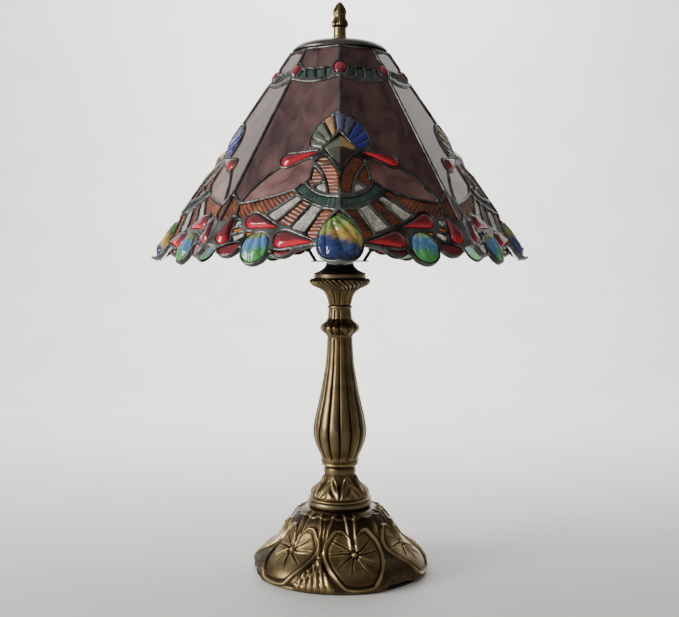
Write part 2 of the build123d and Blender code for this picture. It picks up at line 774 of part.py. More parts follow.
# ================================================================== cap and finial
CAP_RIM = SHADE_WIDTH / 8
with BuildPart() as vase_cap:
    revolve(
        half_section(
            [(CAP_RIM, SHADE_TOP + 1.4), (46, 561), (32, 565.6), (16, 568.4), (STUD_RADIUS + 0.6, CAP_TOP)],
            (STUD_RADIUS + 0.6, CAP_TOP - 1.3),
            (16, 567.1),
            (32, 564.1),
            (44, 559.2),
            (44, SHADE_TOP),
            (CAP_RIM, SHADE_TOP),
        ),
        axis=Axis.Z,
    )
finish(vase_cap, "vase_cap")

with BuildPart() as cap_washer:
    revolve(
        square_section(
            (STUD_RADIUS + 0.6, SEAT_TOP), (11, SEAT_TOP), (11, 567.2), (STUD_RADIUS + 0.6, CAP_TOP - 1.4)
        ),
        axis=Axis.Z,
    )
finish(cap_washer, "cap_washer")

FINIAL_BASE = CAP_TOP + FINIAL_GAP
with BuildPart() as finial_insert:
    revolve(tube_section(STUD_RADIUS + 0.1, 4.4, FINIAL_BASE + 0.4, FINIAL_BASE + 12), axis=Axis.Z)
finish(finial_insert, "finial_insert")

with BuildPart() as finial:
    revolve(
        half_section(
            [
                (6.5, FINIAL_BASE + 11), (8.6, 583), (10.1, 586.5), (8.4, 590.5), (7.1, 594),
                (7.9, 600), (5.6, 605.5), (0, FINIAL_TIP),
            ],
            (0, FINIAL_BASE + 14.5),
            (4.4, FINIAL_BASE + 14.5),
            (4.4, FINIAL_BASE),
            (6.8, FINIAL_BASE),
            (6.8, FINIAL_BASE + 2.5),
            (6.2, FINIAL_BASE + 3),
        ),
        axis=Axis.Z,
    )
finish(finial, "finial")
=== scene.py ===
import json
import math

import bpy
import numpy as np
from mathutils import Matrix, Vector
from mathutils.bvhtree import BVHTree


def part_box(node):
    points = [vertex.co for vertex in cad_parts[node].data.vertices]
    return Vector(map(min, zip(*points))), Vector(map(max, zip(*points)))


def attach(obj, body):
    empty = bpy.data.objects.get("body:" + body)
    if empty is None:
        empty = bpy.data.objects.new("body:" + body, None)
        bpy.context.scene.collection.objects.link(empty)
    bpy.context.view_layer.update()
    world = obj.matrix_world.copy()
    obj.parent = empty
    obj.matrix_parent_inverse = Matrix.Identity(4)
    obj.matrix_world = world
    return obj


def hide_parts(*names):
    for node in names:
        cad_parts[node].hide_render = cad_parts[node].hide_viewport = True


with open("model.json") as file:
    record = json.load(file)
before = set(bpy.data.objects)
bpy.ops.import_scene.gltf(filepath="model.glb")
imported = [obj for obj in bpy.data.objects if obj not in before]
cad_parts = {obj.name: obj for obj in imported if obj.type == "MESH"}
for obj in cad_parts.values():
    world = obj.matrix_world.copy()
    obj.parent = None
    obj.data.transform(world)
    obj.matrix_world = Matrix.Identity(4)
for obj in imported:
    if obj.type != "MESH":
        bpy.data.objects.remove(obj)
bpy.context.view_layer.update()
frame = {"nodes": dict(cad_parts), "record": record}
nodes = frame["nodes"]
MM = 0.001

# ------------------------------------------------------------------ camera, light and floor
IMAGE_WIDTH, FOCAL_PX = 679, 1067.8
SENSOR = 36
EYE_ACROSS, EYE_DISTANCE, EYE_HEIGHT, EYE_PITCH = -0.0004, 1.150, 0.3515, math.radians(0.8)
CROP_SHIFT = -0.0750  # framed closer above the lamp than below it

camera_data = bpy.data.cameras.new("camera")
camera_data.sensor_width = SENSOR
camera_data.lens = FOCAL_PX / IMAGE_WIDTH * SENSOR
camera_data.shift_y = CROP_SHIFT
camera = bpy.data.objects.new("camera", camera_data)
camera.location = (EYE_ACROSS, -EYE_DISTANCE, EYE_HEIGHT)
camera.rotation_euler = (math.pi / 2 - EYE_PITCH, 0, 0)
bpy.context.collection.objects.link(camera)
bpy.context.scene.camera = camera


def soft_light(name, place, target, size, watts, tint=(1, 1, 1)):
    data = bpy.data.lights.new(name, "AREA")
    data.shape, data.size, data.energy, data.color = "SQUARE", size, watts, tint
    light = bpy.data.objects.new(name, data)
    light.location = place
    light.rotation_euler = (Vector(target) - Vector(place)).to_track_quat("-Z", "Y").to_euler()
    bpy.context.collection.objects.link(light)


soft_light("window_left", place=(-1.8, -0.8, 0.75), target=(0, 0, 0.3), size=0.9, watts=46,
           tint=(1, 0.98, 0.95))
soft_light("backdrop_glow", place=(0.0, 0.9, 1.6), target=(0, 2.3, 0.7), size=1.6, watts=88)

# The room is bright on the left and dim on the right.
BRIGHT_SIDE, DIM_SIDE = (0.9, 0.93, 0.96, 1), (0.22, 0.21, 0.2, 1)
DIM_FROM, ROOM_STRENGTH = 0.75, 0.95
world = bpy.data.worlds.new("studio")
world.use_nodes = True
room = world.node_tree
direction = room.nodes.new("ShaderNodeTexCoord")
split = room.nodes.new("ShaderNodeSeparateXYZ")
room.links.new(direction.outputs["Generated"], split.inputs[0])
fade = room.nodes.new("ShaderNodeValToRGB")
bright, dim = fade.color_ramp.elements
bright.position, bright.color = 0.0, BRIGHT_SIDE
dim.position, dim.color = DIM_FROM, DIM_SIDE
widen = room.nodes.new("ShaderNodeMapRange")
widen.inputs["From Min"].default_value = -1
room.links.new(split.outputs["X"], widen.inputs["Value"])
room.links.new(widen.outputs["Result"], fade.inputs["Fac"])
room.links.new(fade.outputs["Color"], room.nodes["Background"].inputs[0])
room.nodes["Background"].inputs[1].default_value = ROOM_STRENGTH
bpy.context.scene.world = world


# ------------------------------------------------------------------ mesh helpers
def new_object(name, mesh):
    piece = bpy.data.objects.new(name, mesh)
    bpy.context.collection.objects.link(piece)
    return piece


def mesh_points(mesh):
    points = np.empty(len(mesh.vertices) * 3)
    mesh.vertices.foreach_get("co", points)
    return points.reshape(-1, 3)


def mesh_normals(mesh):
    normals = np.empty(len(mesh.vertices) * 3)
    mesh.vertex_normals.foreach_get("vector", normals)
    return normals.reshape(-1, 3)


def set_points(mesh, points):
    mesh.vertices.foreach_set("co", points.astype(np.float32).ravel())
    mesh.update()


def smooth(mesh):
    mesh.polygons.foreach_set("use_smooth", np.ones(len(mesh.polygons), bool))


def baked(piece):
    """The piece's mesh with its modifiers applied."""
    graph = bpy.context.evaluated_depsgraph_get()
    mesh = bpy.data.meshes.new_from_object(piece.evaluated_get(graph))
    piece.modifiers.clear()
    piece.data = mesh
    smooth(mesh)
    return mesh


def organic(node, name, voxel, rounds):
    """A copy of a CAD solid with its edges melted round: an even mesh, then smoothed.

    voxel is in millimetres, and rounds is the number of smoothing rounds.
    """
    piece = new_object(name, nodes[node].data.copy())
    piece.data.materials.clear()
    piece.modifiers.new("weld", "WELD").merge_threshold = 1e-6
    remesh = piece.modifiers.new("even", "REMESH")
    remesh.mode, remesh.voxel_size = "VOXEL", voxel * MM
    melt = piece.modifiers.new("melt", "SMOOTH")
    melt.factor, melt.iterations = 0.5, rounds
    baked(piece)
    return piece


BODIES = frame["record"]["behaviour"]["bodies"]
SLOTS = {part["node"]: part["material_slot"] for part in frame["record"]["subparts"]}


def finish_piece(piece, node, finish):
    """Ride on the CAD node's body, stand for it, and take its slot and finish."""
    body = next(body for body, members in BODIES.items() if node in members)
    piece.data.materials.clear()
    piece.data.materials.append(finish)
    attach(piece, body)
    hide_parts(node)


def attribute(mesh, name, values):
    """Store one colour per vertex."""
    layer = mesh.color_attributes.new(name, "FLOAT_COLOR", "POINT")
    rgba = np.ones((len(mesh.vertices), 4), np.float32)
    rgba[:, :3] = values if values.ndim == 2 else values[:, None]
    layer.data.foreach_set("color", rgba.ravel())


WAVE_COUNT = 7


def waves(points, scale, seed):
    """Smooth pseudo-random field, mostly between -0.5 and 0.5, from a few fixed sine waves."""
    rng = np.random.default_rng(seed)
    total = np.zeros(len(points))
    for _ in range(WAVE_COUNT):
        direction = rng.normal(size=3)
        direction *= rng.uniform(0.6, 1.5) / np.linalg.norm(direction)
        total += np.sin(points @ direction * 2 * np.pi / scale + rng.uniform(0, 6.3))
    return total / WAVE_COUNT


# ------------------------------------------------------------------ shade coordinates
# Each of the eight flat panels is seen in its own plane, in millimetres: across from the
# sharp ridge, and down along it from the apex where all the panels would meet.
APEX_MM, SLOPE, SOFT_RATIO = 630.5, 203 / 296.5, 0.93
SHARP_RIDGE = np.array([0, -SLOPE, -1.0])
SOFT_RIDGE = np.array([SLOPE * SOFT_RATIO * math.sqrt(0.5), -SLOPE * SOFT_RATIO * math.sqrt(0.5), -1])
NORMAL = np.cross(SHARP_RIDGE, SOFT_RIDGE)
NORMAL /= np.linalg.norm(NORMAL)
DOWN = SHARP_RIDGE / np.linalg.norm(SHARP_RIDGE)
ACROSS = np.cross(NORMAL, DOWN)


def panel_view(points):
    """(across, down, outward normal, side) of points in metres.

    side is -1 left of the sharp ridge and 1 right of it.
    """
    quarter = np.round(np.arctan2(points[:, 0], -points[:, 1]) / (np.pi / 2))
    turn = quarter * np.pi / 2
    x = points[:, 0] * np.cos(turn) + points[:, 1] * np.sin(turn)
    y = -points[:, 0] * np.sin(turn) + points[:, 1] * np.cos(turn)
    side = np.where(x < 0, -1.0, 1.0)
    local = np.stack([x * side, y, points[:, 2]], 1) / MM - [0, 0, APEX_MM]
    across, down = local @ ACROSS, local @ DOWN
    nx, ny = NORMAL[0] * side, NORMAL[1]
    out_x = nx * np.cos(turn) - ny * np.sin(turn)
    out_y = nx * np.sin(turn) + ny * np.cos(turn)
    outward = np.stack([out_x, out_y, np.full(len(points), NORMAL[2])], 1)
    return across, down, outward, side


def push_out(piece, height_of, back=0.4):
    """Raise the faces that look out of the shade by a height in millimetres, and the backs by less."""
    points, normals = mesh_points(piece.data), mesh_normals(piece.data)
    across, down, outward, side = panel_view(points)
    facing = (normals * outward).sum(1)
    height = height_of(across, down, side, points / MM)
    weight = np.where(facing > 0, facing, back * facing)
    set_points(piece.data, points + outward * (height * weight)[:, None] * MM)


# ------------------------------------------------------------------ materials
NOISE_DETAIL, NOISE_TWIST, LOW_STOP, HIGH_STOP = 6.0, 0.6, 0.33, 0.68
BUMP_DEPTH, GRAIN_DETAIL = 0.0005, 3
COAT_ROUGHNESS, GLASS_IOR = 0.04, 1.5


def material(name, low, high, scale, stretch=(1, 1, 1), rough=(0.3, 0.5), bump=0.0, bump_scale=200.0,
             metallic=0.0, coat=0.0, transmission=0.0, tint=None):
    """Procedural surface: colour and roughness wander between two values on stretched noise.

    tint names a colour stored on the mesh, which multiplies the noise's colour.
    """
    made = bpy.data.materials.new(name)
    made.use_nodes = True
    tree = made.node_tree
    shader = tree.nodes["Principled BSDF"]
    place = tree.nodes.new("ShaderNodeTexCoord")
    mapping = tree.nodes.new("ShaderNodeMapping")
    mapping.inputs["Scale"].default_value = stretch
    tree.links.new(place.outputs["Object"], mapping.inputs["Vector"])
    noise = tree.nodes.new("ShaderNodeTexNoise")
    noise.inputs["Scale"].default_value = scale
    noise.inputs["Detail"].default_value = NOISE_DETAIL
    noise.inputs["Distortion"].default_value = NOISE_TWIST
    tree.links.new(mapping.outputs["Vector"], noise.inputs["Vector"])
    ramp = tree.nodes.new("ShaderNodeValToRGB")
    first, last = ramp.color_ramp.elements
    first.position, first.color = LOW_STOP, (*low, 1)
    last.position, last.color = HIGH_STOP, (*high, 1)
    tree.links.new(noise.outputs["Fac"], ramp.inputs["Fac"])
    base = ramp.outputs["Color"]
    if tint:
        stored = tree.nodes.new("ShaderNodeAttribute")
        stored.attribute_name = tint
        mix = tree.nodes.new("ShaderNodeMix")
        mix.data_type, mix.blend_type = "RGBA", "MULTIPLY"
        mix.inputs["Factor"].default_value = 1.0
        first_colour, second_colour = (socket for socket in mix.inputs if socket.type == "RGBA")
        tree.links.new(stored.outputs["Color"], first_colour)
        tree.links.new(base, second_colour)
        base = next(socket for socket in mix.outputs if socket.type == "RGBA")
    tree.links.new(base, shader.inputs["Base Color"])
    spread = tree.nodes.new("ShaderNodeMapRange")
    spread.inputs["To Min"].default_value, spread.inputs["To Max"].default_value = rough
    tree.links.new(noise.outputs["Fac"], spread.inputs["Value"])
    tree.links.new(spread.outputs["Result"], shader.inputs["Roughness"])
    if bump:
        grain = tree.nodes.new("ShaderNodeTexNoise")
        grain.inputs["Scale"].default_value = bump_scale
        grain.inputs["Detail"].default_value = GRAIN_DETAIL
        tree.links.new(mapping.outputs["Vector"], grain.inputs["Vector"])
        relief = tree.nodes.new("ShaderNodeBump")
        relief.inputs["Strength"].default_value = bump
        relief.inputs["Distance"].default_value = BUMP_DEPTH
        tree.links.new(grain.outputs["Fac"], relief.inputs["Height"])
        tree.links.new(relief.outputs["Normal"], shader.inputs["Normal"])
    shader.inputs["Metallic"].default_value = metallic
    shader.inputs["Coat Weight"].default_value = coat
    shader.inputs["Coat Roughness"].default_value = COAT_ROUGHNESS
    shader.inputs["Transmission Weight"].default_value = transmission
    shader.inputs["IOR"].default_value = GLASS_IOR
    return made


def glass(name, low, high, scale=18, stretch=(1, 1, 1), rough=(0.05, 0.14), through=0.25, bump=0.12,
          coat=0.15, tint=None):
    return material(name, low, high, scale, stretch, rough, bump, 90, coat=coat, transmission=through,
                    tint=tint)


WHITE = (1, 1, 1)
MATERIALS = {
    # metals
    "bronze": material("antique_bronze", (0.1, 0.076, 0.046), (0.26, 0.2, 0.115), 30, rough=(0.28, 0.45),
                       bump=0.25, bump_scale=400, metallic=1),
    "cap_bronze": material("dark_bronze", (0.07, 0.065, 0.055), (0.17, 0.16, 0.135), 30, rough=(0.26, 0.42),
                           bump=0.25, bump_scale=400, metallic=1),
    "bronze_relief": material("antique_bronze_relief", (0.55, 0.5, 0.42), (1, 0.98, 0.9), 45,
                              rough=(0.24, 0.42), bump=0.3, bump_scale=420, metallic=1, tint="patina"),
    "black_metal": material("black_metal", (0.008, 0.007, 0.006), (0.02, 0.018, 0.016), 60,
                            rough=(0.35, 0.55), bump=0.2, metallic=0.5),
    "finial_brass": material("finial_brass", (0.9, 0.9, 0.75), (1.25, 1.25, 1.05), 70, rough=(0.18, 0.34),
                             bump=0.2, bump_scale=500, metallic=1, tint="patina"),
    "plain_brass": material("plain_brass", (0.36, 0.27, 0.12), (0.5, 0.4, 0.2), 70, rough=(0.22, 0.35),
                            metallic=1),
    "socket_brass": material("socket_brass", (0.55, 0.4, 0.16), (0.75, 0.58, 0.28), 40, rough=(0.18, 0.32),
                             metallic=1),
    "steel": material("zinc_steel", (0.35, 0.34, 0.32), (0.55, 0.54, 0.5), 50, metallic=1),
    "bulb_cap": material("bulb_cap", (0.5, 0.5, 0.48), (0.7, 0.7, 0.68), 60, rough=(0.25, 0.4), metallic=1),
    "lead": material("patinated_lead", (0.025, 0.025, 0.023), (0.19, 0.19, 0.18), 45, rough=(0.22, 0.42),
                     bump=0.6, bump_scale=260, metallic=0.9),
    # felt, plastic and the bulb
    "felt": material("felt", (0.012, 0.011, 0.01), (0.035, 0.032, 0.028), 300, rough=(0.9, 1), bump=1,
                     bump_scale=900),
    "black_plastic": material("phenolic", (0.012, 0.012, 0.012), (0.03, 0.03, 0.03), 80, rough=(0.35, 0.5),
                              bump=0.1),
    "bulb_glass": material("frosted_bulb", (0.82, 0.82, 0.8), (0.92, 0.92, 0.9), 20, rough=(0.25, 0.35),
                           coat=0.3, transmission=0.2),
    # sheet glass
    "mauve_glass": glass("mauve_glass", (0.035, 0.013, 0.013), (0.125, 0.06, 0.055), 9, (7, 7, 0.8),
                         rough=(0.05, 0.13), through=0.1, bump=0.1, coat=0.0),
    "wing_glass": glass("wing_glass", (0.1, 0.035, 0.035), (0.33, 0.17, 0.15), 10, (3, 3, 5),
                        rough=(0.08, 0.2), through=0.2),
    "green_ripple_glass": glass("green_ripple_glass", (0.008, 0.028, 0.02), (0.045, 0.1, 0.075), 50,
                                rough=(0.1, 0.25)),
    "amber_ripple_glass": glass("amber_ripple_glass", (0.045, 0.011, 0.005), (0.26, 0.066, 0.018), 60,
                                rough=(0.22, 0.4), through=0.05, coat=0.0),
    "orange_glass": glass("orange_glass", (0.5, 0.13, 0.008), (0.85, 0.3, 0.03), 50, through=0.3),
    "clear_ripple_glass": glass("clear_ripple_glass", (0.42, 0.39, 0.32), (0.95, 0.92, 0.84), 150,
                                rough=(0.08, 0.25), through=0.55, bump=0.6),
    # cast glass
    "red_jewel": glass("red_jewel", (0.8, 0.75, 0.75), WHITE, 30, rough=(0.03, 0.07), through=0.2,
                       bump=0.02, coat=0.35, tint="tint"),
    "leaf_jewel": glass("leaf_jewel", (0.55, 0.6, 0.6), WHITE, 60, rough=(0.04, 0.1), through=0.3,
                        bump=0.15, tint="tint"),
    "smoke_jewel": glass("smoke_jewel", (0.7, 0.68, 0.65), WHITE, 25, rough=(0.15, 0.25), through=0.2,
                         bump=0.02, coat=0.0, tint="tint"),
    "smoke_blue_glass": glass("smoke_blue_glass", (0.06, 0.06, 0.12), (0.17, 0.17, 0.29), 25, through=0.3,
                              bump=0.04),
    "amber_rib_glass": glass("amber_rib_glass", (0.35, 0.17, 0.06), (0.62, 0.36, 0.16), 25, through=0.3,
                             bump=0.04),
    "olive_glass": glass("olive_glass", (0.04, 0.045, 0.028), (0.22, 0.24, 0.17), 60, through=0.4,
                         bump=0.1),
    "blue_glass": glass("blue_glass", (0.008, 0.01, 0.09), (0.03, 0.04, 0.4), 22, through=0.3, bump=0.04),
}

# ------------------------------------------------------------------ shade: lead lines
# A height function gets the place on the panel, the side of the sharp ridge and the point
# itself, all lengths in millimetres, and gives a height in millimetres.
def solder_bead(across, down, side, mm):
    return 0.55 + 0.28 * waves(mm, 9, 3) + 0.12 * waves(mm, 3.1, 5)


for corner in range(1, 5):
    node = f"came_corner_{corner}"
    lead = organic(node, f"lead_corner_{corner}", 0.94, 6)
    push_out(lead, solder_bead)
    finish_piece(lead, node, MATERIALS["lead"])


# ------------------------------------------------------------------ shade: rippled glass
RAY_HUB_DOWN, CRESCENT_HUB_DOWN, RIPPLE_MIDDLE = 235, 232, 0.55


def ripple(wave, length, depth):
    """Heights of a run of rounded ripples along a coordinate."""
    return depth * (np.abs(np.sin(np.pi * wave / length)) - RIPPLE_MIDDLE)


def ray_ripple(across, down, side, mm):
    return ripple(np.hypot(across, down - RAY_HUB_DOWN) + 1.1 * waves(mm, 14, 11), 4.1, 0.9)


def beak_ripple(across, down, side, mm):
    return ripple(down + 0.25 * across + 1.3 * waves(mm, 17, 12), 4.4, 1.0)


def crescent_ripple(across, down, side, mm):
    degrees = np.degrees(np.arctan2(across, down - CRESCENT_HUB_DOWN))
    return ripple(degrees + 2 * waves(mm, 15, 13), 4.3, 0.8)


def hammered(across, down, side, mm):
    return 0.55 * waves(mm, 3.4, 14) + 0.35 * waves(mm, 6.5, 15)


RIPPLED_PANES = {
    "amber_ray_glass": ray_ripple,
    "beak_glass": beak_ripple,
    "crescent_glass": crescent_ripple,
    "kite_glass": hammered,
    "clear_glass": hammered,
    "band_beads": hammered,
    "amber_strip_glass": hammered,
}
for node, height_of in RIPPLED_PANES.items():
    pane = organic(node, f"{node}_rippled", 0.7, 2)
    push_out(pane, height_of)
    finish_piece(pane, node, MATERIALS[SLOTS[node]])


# ------------------------------------------------------------------ shade: jewels
def blend(first, second, amount):
    amount = np.clip(amount, 0, 1)[:, None]
    return first * (1 - amount) + second * amount


def colour(*rgb):
    return np.array(rgb)


FAN_HUB_DOWN, RIB_ANGLE, RIB_CROWN, FULL_CROWN_AT = 233.0, 14.2, 2.4, 30


def fan_pillow(across, down, side, mm):
    """Each rib of the fan is a rounded petal."""
    angle = np.degrees(np.arctan2(across, FAN_HUB_DOWN - down))
    place = 2 * ((angle / RIB_ANGLE + 0.5) % 1) - 1
    reach = np.hypot(across, FAN_HUB_DOWN - down)
    return RIB_CROWN * np.sqrt(np.clip(1 - place**2, 0, 1)) * np.clip(reach / FULL_CROWN_AT, 0.3, 1)


def seen_from(piece):
    """How far each vertex of a piece faces down the panel: 1 on its lower side, -1 on its upper side."""
    outward = panel_view(mesh_points(piece.data))[2]
    normals = mesh_normals(piece.data)
    downhill = np.array([0, 0, -1.0]) + outward * outward[:, 2:]
    return (normals * downhill).sum(1)


# Painted light on the red drops: a painted shade on their upper side, and bright red on their lower side as
# if lit through from below.
RUBY_SHADED_TOP, RUBY, RUBY_LIT_BOTTOM = colour(0.045, 0.004, 0.008), colour(0.24, 0.0, 0.01), colour(0.95, 0.0, 0.02)
# Painted light on the ridge cabochons: a painted highlight on their upper side and a painted shade on their
# lower side.
ROSE_SHADED_BOTTOM, ROSE_LIT_TOP = colour(0.14, 0.004, 0.012), colour(0.5, 0.03, 0.05)
CAST_PIECES = (  # node, rounds of melting, finish
    ("eye_drops", 14, "red_jewel"),
    ("border_drops", 14, "red_jewel"),
    ("ridge_cabochons", 10, "red_jewel"),
    ("red_border_glass", 5, "red_jewel"),
    ("fan_ribs_olive", 3, "olive_glass"),
    ("fan_rib_amber", 3, "amber_rib_glass"),
    ("fan_ribs_smoke", 3, "smoke_blue_glass"),
    ("fan_ribs_blue", 3, "blue_glass"),
)
for node, melt, finish in CAST_PIECES:
    jewel = organic(node, f"{node}_cast", 0.75, melt)
    if node.startswith("fan"):
        push_out(jewel, fan_pillow, 0)
    elif node == "ridge_cabochons":
        # painted highlight on top, painted shade underneath
        attribute(jewel.data, "tint", blend(ROSE_LIT_TOP, ROSE_SHADED_BOTTOM, 0.5 + 1.2 * seen_from(jewel)))
    else:
        # painted shade on the upper side, painted light coming through on the lower side
        low_side = seen_from(jewel)
        tint = blend(blend(RUBY_SHADED_TOP, RUBY, 0.65 + 1.3 * low_side), RUBY_LIT_BOTTOM, 1.2 * low_side)
        attribute(jewel.data, "tint", tint)
    finish_piece(jewel, node, MATERIALS[finish])

# Each of the pyramid's four facets gets its own colour on one smoky glass: painted reflection and shade,
# brightest on the upper right.
PYRAMID_TIP_DOWN = 228
UPPER_LEFT, UPPER_RIGHT = colour(0.1, 0.11, 0.075), colour(0.5, 0.3, 0.12)
LOWER_LEFT, LOWER_RIGHT = colour(0.05, 0.052, 0.035), colour(0.06, 0.035, 0.018)
pyramid = organic("pyramid_jewels", "pyramid_jewels_cut", 0.6, 1)
across, down, _, side = panel_view(mesh_points(pyramid.data))
left, is_upper = (across * side < 0)[:, None], (down < PYRAMID_TIP_DOWN)[:, None]
upper, lower = np.where(left, UPPER_LEFT, UPPER_RIGHT), np.where(left, LOWER_LEFT, LOWER_RIGHT)
attribute(pyramid.data, "tint", np.where(is_upper, upper, lower))
finish_piece(pyramid, "pyramid_jewels", MATERIALS["smoke_jewel"])

GREEN, LIME, AMBER = colour(0.07, 0.26, 0.07), colour(0.3, 0.42, 0.1), colour(0.6, 0.36, 0.07)
BLUE, PALE_BLUE = colour(0.015, 0.04, 0.17), colour(0.14, 0.36, 0.7)

SHELL_HINGE_DOWN = 296
RIBS_START_DOWN, RIBS_END_DOWN = 306, 352


def shell_ribs(across, down, count):
    """Pressed scallop ribs that fan out over a jewel from its point."""
    return np.abs(np.sin(np.arctan2(across, down - SHELL_HINGE_DOWN) * count))


def shield_relief(across, down, side, mm):
    ribs = shell_ribs(across * side + 12, down, 11)
    ends = np.clip((down - RIBS_START_DOWN) / 8, 0, 1) * np.clip((RIBS_END_DOWN - down) / 6, 0, 1)
    return 2.1 * ribs * ends + 0.8 * waves(mm, 6, 21)


shield = organic("shield_jewels", "shield_jewels_cast", 0.7, 9)
across, down, _, side = panel_view(mesh_points(shield.data))
lean = across * side / 20
wander = waves(mesh_points(shield.data) / MM, 9, 23)
tint = blend(LIME, GREEN, 0.4 + 0.8 * lean + wander)
tint = blend(tint, AMBER, (down - 312) / 12 - np.abs(lean - 0.1) + wander)
tint = blend(tint, BLUE, (down - 330 - 8 * lean) / 7 + 0.6 * wander)
ribs = shield_relief(across, down, side, mesh_points(shield.data) / MM)
# The tint is darker in the grooves between the pressed ribs and lighter on their crests: painted shade and
# highlight.
attribute(shield.data, "tint", tint * (0.55 + 0.45 * np.clip(ribs, 0, 2))[:, None])
push_out(shield, shield_relief, 0)
finish_piece(shield, "shield_jewels", MATERIALS["leaf_jewel"])

LEAF_ACROSS = 78


def leaf_relief(across, down, side, mm):
    return 1.5 * shell_ribs(across - LEAF_ACROSS, down, 9) + 0.5 * waves(mm, 6, 22)


leaf = organic("leaf_jewels", "leaf_jewels_cast", 0.7, 9)
across, down, _, side = panel_view(mesh_points(leaf.data))
wander = waves(mesh_points(leaf.data) / MM, 9, 24)
tint = blend(blend(LIME, PALE_BLUE, (down - 310) / 5 + wander), GREEN * 2, (down - 322) / 6 + wander)
attribute(leaf.data, "tint", tint)
push_out(leaf, leaf_relief, 0)
finish_piece(leaf, "leaf_jewels", MATERIALS["leaf_jewel"])


# ------------------------------------------------------------------ turned castings with relief
RAY_START, EDGE_MARGIN = 0.3, 1e-5


def outer_profile(node, steps, azimuth):
    """Outer radius of a CAD casting at even heights, found by rays toward its axis."""
    mesh = nodes[node].data
    mesh.calc_loop_triangles()
    tree = BVHTree.FromPolygons([v.co for v in mesh.vertices], [t.vertices for t in mesh.loop_triangles])
    low, high = (corner[2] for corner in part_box(node))
    heights = np.linspace(low + EDGE_MARGIN, high - EDGE_MARGIN, steps)
    toward = Vector((-math.sin(azimuth), math.cos(azimuth), 0))
    radii = []
    for height in heights:
        start = Vector((-toward.x * RAY_START, -toward.y * RAY_START, height))
        hit = tree.ray_cast(start, toward)[0]
        radii.append(math.hypot(hit.x, hit.y) if hit else radii[-1])
    heights[0], heights[-1] = low, high
    return np.array(radii), heights


BLUR = np.array([1, 2, 3, 2, 1]) / 9


def even_profile(radii, heights, steps):
    """The same profile, a little smoothed, at even steps of its length, and that length in millimetres."""
    length = np.concatenate([[0], np.cumsum(np.hypot(np.diff(radii), np.diff(heights)))])
    run = np.linspace(0, length[-1], steps)
    radii, heights = np.interp(run, length, radii), np.interp(run, length, heights)
    radii[2:-2] = np.convolve(radii, BLUR, "valid")
    return radii, heights, run / MM


# High places are rubbed bright and hollows stay dark, over a range of heights in millimetres.
PATINA_DARK, PATINA_BRIGHT = colour(0.024, 0.016, 0.01), colour(0.48, 0.36, 0.19)
PATINA_FROM, PATINA_RANGE = -1.4, 2.9


def casting(name, node, steps, around, relief, inside, finish="bronze_relief", sample_azimuth=0.3, warp=None,
            profile=None):
    """A closed turned shell whose outside is raised by relief(azimuth, run, radius) in millimetres.

    inside is a straight bore's radius, or (radius, height) points down the inside. The outside follows
    profile, which is (radii, heights), or else the CAD node's own outside as seen from sample_azimuth.
    """
    radii, heights, run = even_profile(*(profile or outer_profile(node, steps * 2, sample_azimuth)), steps)
    azimuth = np.linspace(0, 2 * np.pi, around, endpoint=False)
    height_map = relief(azimuth[None, :] + 0 * run[:, None], run[:, None], radii[:, None] / MM)
    slope_r, slope_z = np.gradient(radii), np.gradient(heights)
    size = np.hypot(slope_r, slope_z)
    out_r, out_z = slope_z / size, -slope_r / size
    out_z[0] = out_z[-1] = 0
    ring_r = radii[:, None] + height_map * MM * out_r[:, None]
    ring_z = heights[:, None] + height_map * MM * out_z[:, None]
    ring_z = np.clip(ring_z, heights[0], heights[-1])
    if np.isscalar(inside):
        inside = [(inside, heights[-1]), (inside, heights[0])]
    for r, z in inside:
        ring_r = np.vstack([ring_r, np.full(around, r)])
        ring_z = np.vstack([ring_z, np.full(around, z)])
    if warp:
        ring_r, ring_z = warp(azimuth[None, :], ring_r, ring_z)
    points = np.stack([ring_r * np.sin(azimuth), -ring_r * np.cos(azimuth), ring_z], 2).reshape(-1, 3)
    rows = len(ring_r)
    index = np.arange(rows * around).reshape(rows, around)
    above = np.roll(index, -1, 0)
    faces = np.stack([index, np.roll(index, -1, 1), np.roll(above, -1, 1), above], 2).reshape(-1, 4)
    mesh = bpy.data.meshes.new(name)
    mesh.from_pydata(points.tolist(), [], faces.tolist())
    smooth(mesh)
    piece = new_object(name, mesh)
    shade = np.zeros(rows * around)
    shade[: steps * around] = height_map.ravel()
    rubbed = np.clip((shade - PATINA_FROM) / PATINA_RANGE, 0, 1)
    attribute(mesh, "patina", blend(PATINA_DARK, PATINA_BRIGHT, rubbed**1.5))
    finish_piece(piece, node, MATERIALS[finish])


def ridge(distance, width):
    """A soft ridge of height 1 along distance 0."""
    return np.exp(-((distance / width) ** 2))


def gap_between_pads(azimuth):
    """Angle from the middle of the gap between two pads, and whether that gap holds a tassel."""
    place = azimuth - FIRST_PAD
    return place % PAD_STEP - PAD_STEP / 2, np.floor(place / PAD_STEP).astype(int) % 2 == 1


PADS, FIRST_PAD = 6, math.radians(13)
PAD_STEP = 2 * math.pi / PADS
PAD_CENTRE = 43.0  # up the foot's outside from its lower edge
# Angle from straight down in degrees, and reach from the flower in millimetres.
PAD_OUTLINE = np.array([
    (0, 40), (22, 41), (42, 36), (70, 32), (100, 30.5), (128, 29), (146, 30), (158, 27), (167, 17), (174, 8),
    (180, 6),
])
VEINS = np.radians([18, -18, 52, -52, 92, -92, 128, -128])


